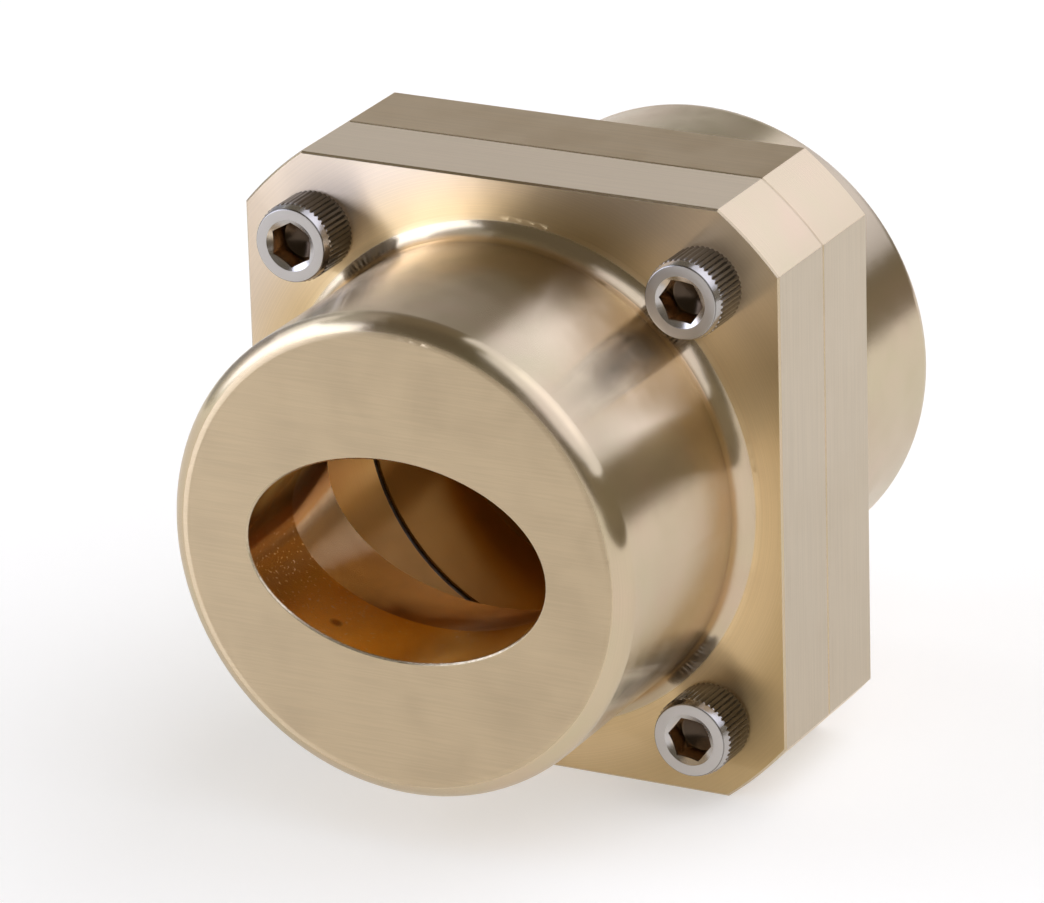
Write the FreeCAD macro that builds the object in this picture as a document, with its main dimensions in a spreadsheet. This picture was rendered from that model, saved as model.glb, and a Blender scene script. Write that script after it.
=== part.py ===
# Elliptical waveguide splice: two bolted brass halves that join two lengths of elliptical waveguide.
# Frame: origin at the centre of the joint plane, X along the mouth's width, Y along the waveguide with
# the front half towards -Y, Z up. Lengths are in millimetres.
import FreeCAD, Part
import math
import os
import Sketcher

doc = FreeCAD.newDocument("waveguide_splice")

# Driving sizes
SIZES = {
    "flange_width": 68.0,
    "flange_height": 71.4,
    "flange_thickness": 11.7,
    "corner_diameter": 88.9,
    "flange_edge_break": 0.25,
    "boss_diameter": 57.7,
    "boss_length": 29.5,
    "rim_radius": 2.4,
    "root_radius": 2.5,
    "mouth_width": 37.5,
    "mouth_height": 23.9,
    "mouth_edge_break": 0.2,
    "socket_length": 10.6,
    "flare_length": 13.4,
    "flare_width": 42.8,
    "flare_height": 28.7,
    "chamber_diameter": 50.3,
    "seal_thickness": 1.2,
    "seal_width": 2.4,
    "seal_setback": 0.3,
    "seal_clearance": 0.1,
    "screw_spacing_across": 49.5,
    "screw_spacing_upright": 53.0,
    "screw_hole_diameter": 6.8,
    "tapped_hole_clearance": 0.04,
    "hole_countersink": 0.4,
    "thread_diameter": 6.35,
    "thread_length": 22.2,
    "thread_tip_chamfer": 0.8,
    "head_diameter": 9.45,
    "head_height": 6.35,
    "head_shoulder_inset": 0.3,
    "head_shoulder_height": 1.0,
    "head_seat_chamfer": 0.25,
    "knurl_flutes": 46,
    "knurl_depth": 0.22,
    "socket_across_flats": 4.76,
    "socket_depth": 3.2,
    "socket_countersink_diameter": 6.2,
    "socket_countersink_depth": 0.42,
}

# The four screws by their corners as seen from the front, and how far each was turned in degrees
SCREW_TURNS = {
    "top_left": 29.4,
    "top_right": 55.5,
    "bottom_left": 12.0,
    "bottom_right": 52.0,
}

X_AXIS = FreeCAD.Vector(1, 0, 0)
Z_AXIS = FreeCAD.Vector(0, 0, 1)
CENTRE = FreeCAD.Vector(0, 0, 0)
SAME_PLACE = 1e-4

sheet = doc.addObject("Spreadsheet::Sheet", "Sizes")
for row, (alias, value) in enumerate(SIZES.items(), start=1):
    sheet.set(f"A{row}", alias)
    sheet.set(f"B{row}", str(value))
    sheet.setAlias(f"B{row}", alias)
doc.recompute()


def size(alias):
    return float(sheet.get(alias))


def bind(feature, formulas):
    for name, formula in formulas.items():
        feature.setExpression(name, formula)


def corner_signs(corner):
    level, side = corner.split("_")
    return {"left": -1, "right": 1}[side], {"bottom": -1, "top": 1}[level]


# Bodies, and features that check their own work
def new_body(label):
    body = doc.addObject("PartDesign::Body", label)
    body.Label = label
    return body


def add_solid(body, kind, name, formulas):
    before = body.Shape.Volume if body.Tip else 0
    solid = body.newObject(f"PartDesign::{kind}", name)
    bind(solid, formulas)
    doc.recompute()
    if abs(body.Shape.Volume - before) < SAME_PLACE:
        raise RuntimeError(f"{body.Label}: {name} changed nothing")
    return solid


def cut_outline(body, name, sketch, length):
    before = body.Shape.Volume
    pocket = body.newObject("PartDesign::Pocket", name)
    pocket.Profile = sketch
    pocket.Reversed = True
    bind(pocket, {"Length": length})
    doc.recompute()
    if body.Shape.Volume > before - SAME_PLACE:
        raise RuntimeError(f"{body.Label}: {name} cut nothing")
    return pocket


def cut_between(body, name, near_outline, far_outline):
    before = body.Shape.Volume
    loft = body.newObject("PartDesign::SubtractiveLoft", name)
    loft.Profile = near_outline
    loft.Sections = [far_outline]
    doc.recompute()
    if body.Shape.Volume > before - SAME_PLACE:
        raise RuntimeError(f"{body.Label}: {name} cut nothing")
    return loft


def dress_edges(body, kind, name, is_wanted, formulas):
    base = body.Tip
    edges = [f"Edge{i}" for i, edge in enumerate(base.Shape.Edges, start=1) if is_wanted(edge)]
    if not edges:
        raise RuntimeError(f"{body.Label}: no edge found for {name}")
    dressed = body.newObject(f"PartDesign::{kind}", name)
    dressed.Base = (base, edges)
    bind(dressed, formulas)
    doc.recompute()
    return dressed


def round_edge_at(radius, height):
    def is_wanted(edge):
        if not edge.isClosed() or not isinstance(edge.Curve, Part.Circle):
            return False
        centre = edge.Curve.Center
        same_height = abs(centre.z - height) < SAME_PLACE
        return same_height and abs(edge.Curve.Radius - radius) < SAME_PLACE
    return is_wanted


# Sketches on a body's own joint plane
def plane_sketch(body, name):
    sketch = body.newObject("Sketcher::SketchObject", name)
    plane = next(f for f in body.Origin.OriginFeatures if f.Role == "XY_Plane")
    sketch.AttachmentSupport = [(plane, "")]
    sketch.MapMode = "FlatFace"
    return sketch


def fix(sketch, name, formula, *constraint):
    index = sketch.addConstraint(Sketcher.Constraint(*constraint))
    sketch.renameConstraint(index, name)
    sketch.setExpression(f"Constraints.{name}", formula)


def sketch_waste_round_flange(body):
    sketch = plane_sketch(body, "waste_outline")
    wide, high = size("flange_width") / 2, size("flange_height") / 2
    signs = ((-1, -1), (1, -1), (1, 1), (-1, 1))
    corners = [FreeCAD.Vector(across * wide, up * high, 0) for across, up in signs]
    for i, corner in enumerate(corners):
        sketch.addGeometry(Part.LineSegment(corner, corners[(i + 1) % 4]), False)
    for i in range(4):
        sketch.addConstraint(Sketcher.Constraint("Coincident", i, 2, (i + 1) % 4, 1))
    for i in (0, 2):
        sketch.addConstraint(Sketcher.Constraint("Horizontal", i))
        sketch.addConstraint(Sketcher.Constraint("Vertical", i + 1))
    sketch.addConstraint(Sketcher.Constraint("Symmetric", 0, 1, 2, 1, -1, 1))
    fix(sketch, "width", "Sizes.flange_width", "DistanceX", 0, 1, 0, 2, 2 * wide)
    fix(sketch, "height", "Sizes.flange_height", "DistanceY", 1, 1, 1, 2, 2 * high)
    reach = size("corner_diameter") / 2 + math.hypot(wide, high)
    flange_diagonal = "sqrt(Sizes.flange_width ^ 2 + Sizes.flange_height ^ 2)"
    sketch.addGeometry(Part.Circle(CENTRE, Z_AXIS, reach), False)
    sketch.addConstraint(Sketcher.Constraint("Coincident", 4, 3, -1, 1))
    fix(sketch, "reach", f"Sizes.corner_diameter / 2 + {flange_diagonal} / 2", "Radius", 4, reach)
    return sketch


def sketch_ellipse(body, name, width, height, level):
    sketch = plane_sketch(body, name)
    bind(sketch, {"AttachmentOffset.Base.z": level})
    wide, high = size(width) / 2, size(height) / 2
    ellipse = Part.Ellipse(FreeCAD.Vector(wide, 0, 0), FreeCAD.Vector(0, high, 0), CENTRE)
    sketch.addGeometry(ellipse, False)
    sketch.exposeInternalGeometry(0)
    sketch.addConstraint(Sketcher.Constraint("Coincident", 0, 3, -1, 1))
    sketch.addConstraint(Sketcher.Constraint("Horizontal", 1))
    fix(sketch, "width", f"Sizes.{width}", "Distance", 1, 2 * wide)
    fix(sketch, "height", f"Sizes.{height}", "Distance", 2, 2 * high)
    return sketch


def sketch_screw_holes(body, diameter, formula):
    sketch = plane_sketch(body, "screw_hole_circles")
    across, upright = size("screw_spacing_across") / 2, size("screw_spacing_upright") / 2
    for i, corner in enumerate(SCREW_TURNS):
        side, level = corner_signs(corner)
        centre = FreeCAD.Vector(side * across, level * upright, 0)
        sketch.addGeometry(Part.Circle(centre, Z_AXIS, diameter / 2), False)
        fix(sketch, f"{corner}_bore", formula, "Diameter", i, diameter)
        fix(sketch, f"{corner}_across", f"{side} * Sizes.screw_spacing_across / 2",
            "DistanceX", -1, 1, i, 3, side * across)
        fix(sketch, f"{corner}_upright", f"{level} * Sizes.screw_spacing_upright / 2",
            "DistanceY", -1, 1, i, 3, level * upright)
    return sketch


# One half, standing on its joint face: a turned blank with milled flats, bored from both ends
def make_half(label, hole_diameter, hole_formula):
    body = new_body(label)
    boss_radius = size("boss_diameter") / 2
    face = size("flange_thickness")
    end = face + size("boss_length")

    add_solid(body, "AdditiveCylinder", "turned_flange", {
        "Radius": "Sizes.corner_diameter / 2",
        "Height": "Sizes.flange_thickness",
    })
    add_solid(body, "AdditiveCylinder", "turned_boss", {
        "Radius": "Sizes.boss_diameter / 2",
        "Height": "Sizes.flange_thickness + Sizes.boss_length",
    })
    ledge = "min(Sizes.flange_width; Sizes.flange_height) / 2 - Sizes.boss_diameter / 2"
    root = dress_edges(body, "Fillet", "root_fillet", round_edge_at(boss_radius, face),
                       {"Radius": f"min(Sizes.root_radius; {ledge} - 2 * Sizes.flange_edge_break)"})
    root_reach = boss_radius + root.Radius.Value
    dress_edges(body, "Fillet", "rim_round", round_edge_at(boss_radius, end),
                {"Radius": "Sizes.rim_radius"})
    cut_outline(body, "milled_flats", sketch_waste_round_flange(body), "Sizes.flange_thickness")

    def on_flange_outline(edge):
        middle = edge.valueAt((edge.FirstParameter + edge.LastParameter) / 2)
        outside_the_root = math.hypot(middle.x, middle.y) > root_reach + SAME_PLACE
        return edge.BoundBox.ZLength < SAME_PLACE and not edge.isClosed() and outside_the_root

    dress_edges(body, "Chamfer", "flange_edges", on_flange_outline, {"Size": "Sizes.flange_edge_break"})

    socket_end = "Sizes.flange_thickness + Sizes.boss_length - Sizes.socket_length"
    chamber_end = f"{socket_end} - Sizes.flare_length"
    add_solid(body, "SubtractiveCylinder", "chamber", {
        "Radius": "Sizes.chamber_diameter / 2",
        "Height": chamber_end,
    })
    add_solid(body, "SubtractiveCylinder", "seal_seat", {
        "Radius": "Sizes.chamber_diameter / 2 + Sizes.seal_width + Sizes.seal_clearance",
        "Height": "Sizes.seal_thickness / 2",
    })
    mouth = sketch_ellipse(body, "mouth_outline", "mouth_width", "mouth_height", "0")
    cut_outline(body, "socket", mouth, "Sizes.flange_thickness + Sizes.boss_length")
    flare_rim = sketch_ellipse(body, "flare_rim", "flare_width", "flare_height", chamber_end)
    flare_root = sketch_ellipse(body, "flare_root", "mouth_width", "mouth_height", socket_end)
    cut_between(body, "flare", flare_rim, flare_root)

    def at_the_mouth(edge):
        return isinstance(edge.Curve, Part.Ellipse) and abs(edge.Curve.Center.z - end) < SAME_PLACE

    dress_edges(body, "Chamfer", "mouth_edge", at_the_mouth, {"Size": "Sizes.mouth_edge_break"})

    holes = sketch_screw_holes(body, hole_diameter, hole_formula)
    cut_outline(body, "screw_holes", holes, "Sizes.flange_thickness")
    for name, height in (("joint_countersinks", 0), ("face_countersinks", face)):
        dress_edges(body, "Chamfer", name, round_edge_at(hole_diameter / 2, height),
                    {"Size": "Sizes.hole_countersink"})
    return body


# The flat ring between the halves, inside the seats that both joint faces have for it
def make_seal_ring():
    body = new_body("seal_ring")
    add_solid(body, "AdditiveCylinder", "seal_blank", {
        "Radius": "Sizes.chamber_diameter / 2 + Sizes.seal_width",
        "Height": "Sizes.seal_thickness",
    })
    add_solid(body, "SubtractiveCylinder", "seal_opening", {
        "Radius": "Sizes.chamber_diameter / 2 + Sizes.seal_setback",
        "Height": "Sizes.seal_thickness",
    })
    return body


# A socket head cap screw whose head stands on the plane at height 0, with its thread below
def make_screw(label):
    body = new_body(label)
    head_radius = size("head_diameter") / 2
    head_top = size("head_height")

    add_solid(body, "AdditiveCylinder", "head", {
        "Radius": "Sizes.head_diameter / 2",
        "Height": "Sizes.head_height",
    })
    shoulder = dress_edges(body, "Chamfer", "head_shoulder", round_edge_at(head_radius, head_top), {})
    shoulder.ChamferType = "Two distances"
    bind(shoulder, {"Size": "Sizes.head_shoulder_inset", "Size2": "Sizes.head_shoulder_height"})
    doc.recompute()
    inset_edge = round_edge_at(head_radius - size("head_shoulder_inset"), head_top)
    if not any(inset_edge(edge) for edge in body.Shape.Edges):
        shoulder.FlipDirection = True
        doc.recompute()
    dress_edges(body, "Chamfer", "head_seat", round_edge_at(head_radius, 0),
                {"Size": "Sizes.head_seat_chamfer"})

    flute = add_solid(body, "SubtractivePrism", "knurl_flute", {
        "Circumradius": "Sizes.knurl_depth * 2",
        "Height": "Sizes.head_height + Sizes.knurl_depth * 2",
        "Placement.Base.x": "Sizes.head_diameter / 2 + Sizes.knurl_depth",
        "Placement.Base.z": "-Sizes.knurl_depth",
    })
    flute.Polygon = 4
    knurl = body.newObject("PartDesign::PolarPattern", "knurl")
    knurl.Originals = [flute]
    knurl.Axis = (next(f for f in body.Origin.OriginFeatures if f.Role == "Z_Axis"), [""])
    knurl.Angle = 360
    bind(knurl, {"Occurrences": "Sizes.knurl_flutes"})
    body.Tip = knurl
    doc.recompute()

    socket = add_solid(body, "SubtractivePrism", "socket", {
        "Circumradius": "Sizes.socket_across_flats / 2 / cos(30)",
        "Height": "Sizes.socket_depth",
        "Placement.Base.z": "Sizes.head_height - Sizes.socket_depth",
    })
    socket.Polygon = 6
    point_height = "Sizes.socket_across_flats / 2 * tan(30)"
    add_solid(body, "SubtractiveCone", "socket_drill_point", {
        "Radius1": "0",
        "Radius2": "Sizes.socket_across_flats / 2",
        "Height": point_height,
        "Placement.Base.z": f"Sizes.head_height - Sizes.socket_depth - {point_height}",
    })
    add_solid(body, "SubtractiveCone", "socket_countersink", {
        "Radius1": "Sizes.socket_countersink_diameter / 2 - Sizes.socket_countersink_depth / tan(30)",
        "Radius2": "Sizes.socket_countersink_diameter / 2",
        "Height": "Sizes.socket_countersink_depth",
        "Placement.Base.z": "Sizes.head_height - Sizes.socket_countersink_depth",
    })
    add_solid(body, "AdditiveCylinder", "shank", {
        "Radius": "Sizes.thread_diameter / 2",
        "Height": "Sizes.thread_length",
        "Placement.Base.z": "-Sizes.thread_length",
    })
    tip_edge = round_edge_at(size("thread_diameter") / 2, -size("thread_length"))
    dress_edges(body, "Chamfer", "thread_tip", tip_edge, {"Size": "Sizes.thread_tip_chamfer"})
    return body


# Placing: a body's own +Z becomes the object's -Y for what faces the front, and +Y for the rear half
def face_front(body, turn=0.0):
    towards_front = FreeCAD.Rotation(X_AXIS, 90)
    body.Placement = FreeCAD.Placement(CENTRE, towards_front.multiply(FreeCAD.Rotation(Z_AXIS, turn)))


def face_rear(body):
    body.Placement = FreeCAD.Placement(CENTRE, FreeCAD.Rotation(X_AXIS, -90))


front_half = make_half("front_half", size("screw_hole_diameter"), "Sizes.screw_hole_diameter")
face_front(front_half)

tapped_diameter = size("thread_diameter") + size("tapped_hole_clearance")
rear_half = make_half("rear_half", tapped_diameter, "Sizes.thread_diameter + Sizes.tapped_hole_clearance")
face_rear(rear_half)

seal_ring = make_seal_ring()
face_front(seal_ring)
bind(seal_ring, {"Placement.Base.y": "Sizes.seal_thickness / 2"})

screws = []
for corner, turn in SCREW_TURNS.items():
    side, level = corner_signs(corner)
    screw = make_screw(f"screw_{corner}")
    face_front(screw, turn)
    bind(screw, {
        "Placement.Base.x": f"{side} * Sizes.screw_spacing_across / 2",
        "Placement.Base.y": "-Sizes.flange_thickness",
        "Placement.Base.z": f"{level} * Sizes.screw_spacing_upright / 2",
    })
    screws.append(screw)

doc.recompute()

# Checks, then one file for each piece
for feature in doc.Objects:
    if {"Invalid", "Error"} & set(feature.State):
        raise RuntimeError(f"{feature.Label} did not build: {feature.State}")

os.makedirs("parts", exist_ok=True)
for body in [front_half, rear_half, seal_ring, *screws]:
    shape = body.Shape
    if shape.isNull() or not shape.isValid() or len(shape.Solids) != 1:
        raise RuntimeError(f"{body.Label} is not one sound solid")
    shape.exportStep(os.path.join("parts", f"{body.Label}.step"))
    box = shape.BoundBox
    extent = f"{box.XLength:.2f} x {box.YLength:.2f} x {box.ZLength:.2f} mm"
    print(f"{body.Label:20s} {shape.Volume:10.2f} mm3  {extent}")
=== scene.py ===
# %% [markdown]
# # An elliptical waveguide splice
#
# The splice joins two lengths of elliptical waveguide, a ribbed copper tube that carries microwaves.
# It is two machined brass halves, bolted face to face with four steel cap screws, with a rubber ring
# between them. The halves are already modelled to size, so this lesson dresses them: it makes the brass
# look turned, milled and handled, builds the screws with all their small forms, and sets up the studio.
# The frame is loaded first, because the main places and sizes below are read from it.

# %% Load the machined frame
import math

import bmesh
import bpy
from mathutils import Matrix, Vector


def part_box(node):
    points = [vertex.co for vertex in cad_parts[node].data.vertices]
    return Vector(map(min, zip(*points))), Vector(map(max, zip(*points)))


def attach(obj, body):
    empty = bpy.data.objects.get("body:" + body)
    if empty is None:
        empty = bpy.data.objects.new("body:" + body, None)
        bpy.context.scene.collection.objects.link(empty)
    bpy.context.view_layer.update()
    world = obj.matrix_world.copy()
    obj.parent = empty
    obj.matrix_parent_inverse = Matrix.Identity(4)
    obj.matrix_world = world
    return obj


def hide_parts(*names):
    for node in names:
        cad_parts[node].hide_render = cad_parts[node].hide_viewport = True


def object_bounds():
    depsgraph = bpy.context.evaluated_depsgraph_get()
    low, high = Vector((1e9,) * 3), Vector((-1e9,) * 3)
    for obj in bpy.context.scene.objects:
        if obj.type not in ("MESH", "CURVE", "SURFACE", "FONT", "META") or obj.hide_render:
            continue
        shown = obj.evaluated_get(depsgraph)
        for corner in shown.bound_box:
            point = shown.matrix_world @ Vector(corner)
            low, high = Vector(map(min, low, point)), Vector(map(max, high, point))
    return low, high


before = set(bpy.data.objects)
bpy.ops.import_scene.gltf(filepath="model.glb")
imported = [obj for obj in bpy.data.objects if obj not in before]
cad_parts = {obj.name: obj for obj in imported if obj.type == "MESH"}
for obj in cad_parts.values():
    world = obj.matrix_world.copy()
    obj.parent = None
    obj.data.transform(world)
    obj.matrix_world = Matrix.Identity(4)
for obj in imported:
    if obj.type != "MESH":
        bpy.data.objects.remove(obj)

cad_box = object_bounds()
for name in ("Cube", "Light", "Camera"):
    leftover = bpy.data.objects.get(name)
    if leftover:
        bpy.data.objects.remove(leftover, do_unlink=True)
print("nodes of the frame:", ", ".join(sorted(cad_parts)))

# %% [markdown]
# ## Measures
#
# The main measures are read from the frame's own boxes, so that the dressing follows the parts. The
# boxes give the width, the mouth's face and the floor, and a screw's box gives the face that its head
# stands on. Small forms that a box can't give, such as the barrel's radius, are named here once.

# %% Measures in metres
MM = 0.001
HEAD_HEIGHT = 6.35 * MM
THREAD_LENGTH = 22.2 * MM
BARREL_RADIUS = 28.85 * MM
CHAMBER_RADIUS = 25.15 * MM

front_low, front_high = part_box("front_half")
screw_low, screw_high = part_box("screw_top_right")
half_width = front_high.x
half_height = front_high.z
mouth_face = -front_low.y
flange_face = -screw_low.y - HEAD_HEIGHT
floor_level = cad_box[0].z
print(f"mouth face at {mouth_face / MM:.1f} mm, flange face at {flange_face / MM:.1f} mm")
print(f"a screw is {(screw_high.y - screw_low.y) / MM:.1f} mm long from end to end")

# %% [markdown]
# ## Camera
#
# The photograph was taken with a long lens from the front right, a little above. A camera is placed by
# its direction from the object, its distance and its small roll, and two aims in metres shift it until
# the splice stands where it does in the photograph. Three unit vectors do that work: one points back
# from the object to the camera, one to the picture's right and one up the picture. As the columns of a
# matrix they are the camera's own axes.

# %% Place the camera
CAMERA_AZIMUTH = math.radians(27.53)
CAMERA_ELEVATION = math.radians(20.91)
CAMERA_ROLL = math.radians(-1.62)
CAMERA_DISTANCE = 0.89255
AIM_RIGHT = -0.00443
AIM_UP = -0.00124
SENSOR_WIDTH = 36.0
LENS = 265.3
NEAREST_SEEN = 0.01

back = Vector((
    math.sin(CAMERA_AZIMUTH) * math.cos(CAMERA_ELEVATION),
    -math.cos(CAMERA_AZIMUTH) * math.cos(CAMERA_ELEVATION),
    math.sin(CAMERA_ELEVATION),
))
level_right = Vector((math.cos(CAMERA_AZIMUTH), math.sin(CAMERA_AZIMUTH), 0))
level_up = back.cross(level_right)
right = math.cos(CAMERA_ROLL) * level_right + math.sin(CAMERA_ROLL) * level_up
up = -math.sin(CAMERA_ROLL) * level_right + math.cos(CAMERA_ROLL) * level_up
spot = AIM_RIGHT * right + AIM_UP * up + CAMERA_DISTANCE * back


def add_object(name, data):
    made = bpy.data.objects.new(name, data)
    bpy.context.scene.collection.objects.link(made)
    return made


camera = add_object("photo_camera", bpy.data.cameras.new("photo_camera"))
camera.matrix_world = Matrix((right, up, back)).transposed().to_4x4()
camera.matrix_world.translation = spot
camera.data.sensor_width = SENSOR_WIDTH
camera.data.lens = LENS
camera.data.clip_start = NEAREST_SEEN
bpy.context.scene.camera = camera
bpy.context.scene.view_settings.view_transform = "Standard"
print("camera at", [round(value, 4) for value in camera.matrix_world.translation])

# %% [markdown]
# ## Words for wiring nodes
#
# Every finish below is a tree of shader nodes. Writing each node out takes many lines, so one small
# class keeps the tree and gives a short word for each kind of node that the finishes need. A value can
# be a number or another node's output, and plug() tells them apart. A mask is a value from 0 to 1 that
# says how much a point belongs to a surface, and both() and opposite() join and turn masks. A Mix node
# has sockets for every kind of value, so the numbers of its colour sockets are named.

# %% Wiring
MIX_INPUTS = (0, 6, 7)
MIX_RESULT = 2


class Wiring:
    def __init__(self, name):
        self.material = bpy.data.materials.new(name)
        self.material.use_nodes = True
        self.tree = self.material.node_tree
        self.tree.nodes.clear()
        self.output = self.node("ShaderNodeOutputMaterial")

    def node(self, kind, **settings):
        made = self.tree.nodes.new(kind)
        for name, value in settings.items():
            setattr(made, name, value)
        return made

    def plug(self, value, socket):
        if isinstance(value, bpy.types.NodeSocket):
            self.tree.links.new(value, socket)
        else:
            socket.default_value = value

    def metal(self, colour, rough, normal):
        shader = self.node("ShaderNodeBsdfPrincipled")
        shader.inputs["Metallic"].default_value = 1.0
        self.plug(colour, shader.inputs["Base Color"])
        self.plug(rough, shader.inputs["Roughness"])
        self.plug(normal, shader.inputs["Normal"])
        self.plug(shader.outputs["BSDF"], self.output.inputs["Surface"])
        return shader

    def maths(self, operation, *values):
        made = self.node("ShaderNodeMath", operation=operation)
        for value, socket in zip(values, made.inputs):
            self.plug(value, socket)
        return made.outputs[0]

    def both(self, *masks):
        shared = masks[0]
        for mask in masks[1:]:
            shared = self.maths("MULTIPLY", shared, mask)
        return shared

    def opposite(self, mask):
        return self.maths("SUBTRACT", 1.0, mask)

    def vector(self, operation, *values):
        made = self.node("ShaderNodeVectorMath", operation=operation)
        for value, socket in zip(values, made.inputs):
            self.plug(value, socket)
        return made.outputs["Value" if operation == "LENGTH" else "Vector"]

    def place_in_mm(self, coordinates):
        return self.vector("MULTIPLY", coordinates.outputs["Object"], (1 / MM, 1 / MM, 1 / MM))

    def fade(self, value, start, end, low=0.0, high=1.0):
        made = self.node("ShaderNodeMapRange", interpolation_type="SMOOTHSTEP")
        for socket, number in zip(made.inputs, (value, start, end, low, high)):
            self.plug(number, socket)
        return made.outputs["Result"]

    def fade_out(self, value, start, end):
        return self.fade(value, start, end, 1.0, 0.0)

    def mix(self, share, first, second, blend="MIX"):
        made = self.node("ShaderNodeMix", data_type="RGBA", blend_type=blend)
        for index, value in zip(MIX_INPUTS, (share, first, second)):
            self.plug(value, made.inputs[index])
        return made.outputs[MIX_RESULT]

    def noise(self, place, stretch, detail=2.0, rough=0.5):
        made = self.node("ShaderNodeTexNoise")
        self.plug(self.vector("MULTIPLY", place, stretch), made.inputs["Vector"])
        made.inputs["Scale"].default_value = 1.0
        made.inputs["Detail"].default_value = detail
        made.inputs["Roughness"].default_value = rough
        return made.outputs["Fac"]

    def lines(self, along, per_mm, detail=2.0):
        made = self.node("ShaderNodeTexNoise", noise_dimensions="1D")
        self.plug(along, made.inputs["W"])
        made.inputs["Scale"].default_value = per_mm
        made.inputs["Detail"].default_value = detail
        return made.outputs["Fac"]

    def combine(self, x, y, z):
        made = self.node("ShaderNodeCombineXYZ")
        for value, socket in zip((x, y, z), made.inputs):
            self.plug(value, socket)
        return made.outputs[0]

    def split(self, vector):
        made = self.node("ShaderNodeSeparateXYZ")
        self.plug(vector, made.inputs[0])
        return made.outputs

    def bump(self, height, depth, normal=None):
        made = self.node("ShaderNodeBump")
        made.inputs["Strength"].default_value = 1.0
        made.inputs["Distance"].default_value = depth
        self.plug(height, made.inputs["Height"])
        if normal:
            self.plug(normal, made.inputs["Normal"])
        return made.outputs["Normal"]


def rgb(red, green, blue):
    return (red, green, blue, 1.0)


def grey(level):
    return rgb(level, level, level)


print("wiring words:", ", ".join(word for word in vars(Wiring) if not word.startswith("_")))

# %% [markdown]
# ## Where a point lies on a half
#
# Each half is one piece of brass with many finishes: a rubbed end face, a turned barrel, a turned
# flange face, milled flats and dark bores. Splitting it into several materials would leave hard
# borders, and the frame's mesh may not change. So one material asks where a point lies and which way
# its surface faces, and builds a soft mask for each machined surface. The ranges below say over what
# stretch each mask fades. They are in millimetres, apart from those of the ways that a surface faces,
# where 1 is straight along the axis or straight up.

# %% Ranges of the masks
END = mouth_face / MM
BARREL = BARREL_RADIUS / MM
BORE = CHAMBER_RADIUS / MM
CHAMBER_END = 17.2
FLARE_END = 30.6
STEP_SOFTNESS = 0.1
SIDE_ON = (0.93, 0.985)
FACING_UP = (-0.1, 0.7)
FACING_DOWN = (-0.5, -0.2)
END_FACE_DEPTHS = (END - 0.2, END - 0.05)
MOUTH_RIM_DEPTHS = (END - 0.5, END - 0.15)
MOUTH_EDGE_HEIGHTS = (-4.0, 3.0)
BORE_RADII = (BORE + 0.2, BORE + 0.5)
CHAMBER_DEPTHS = (CHAMBER_END - STEP_SOFTNESS, CHAMBER_END + STEP_SOFTNESS)
FLARE_DEPTHS = (FLARE_END - STEP_SOFTNESS, FLARE_END + STEP_SOFTNESS)
FLANGE_SLACK = 0.1
FLAT_SLACK = 0.02
BARREL_SLACK = 0.15
NEAR_BARREL_RADII = (BARREL + 2.0, BARREL + 10.0)
UPPER_RIGHT_START = (10.5, 15.0)
UPPER_LEFT_START = (-17.0, -13.0)
UPPER_LEFT_END = (-9.0, -5.0)
UPPER_LEFT_HEIGHTS = (18.0, 22.0)
HIGHLIGHT_DEPTHS = (23.0, 38.0)
print(f"chamber to {CHAMBER_END} mm, flare to {FLARE_END} mm, end face at {END:.1f} mm")
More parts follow.
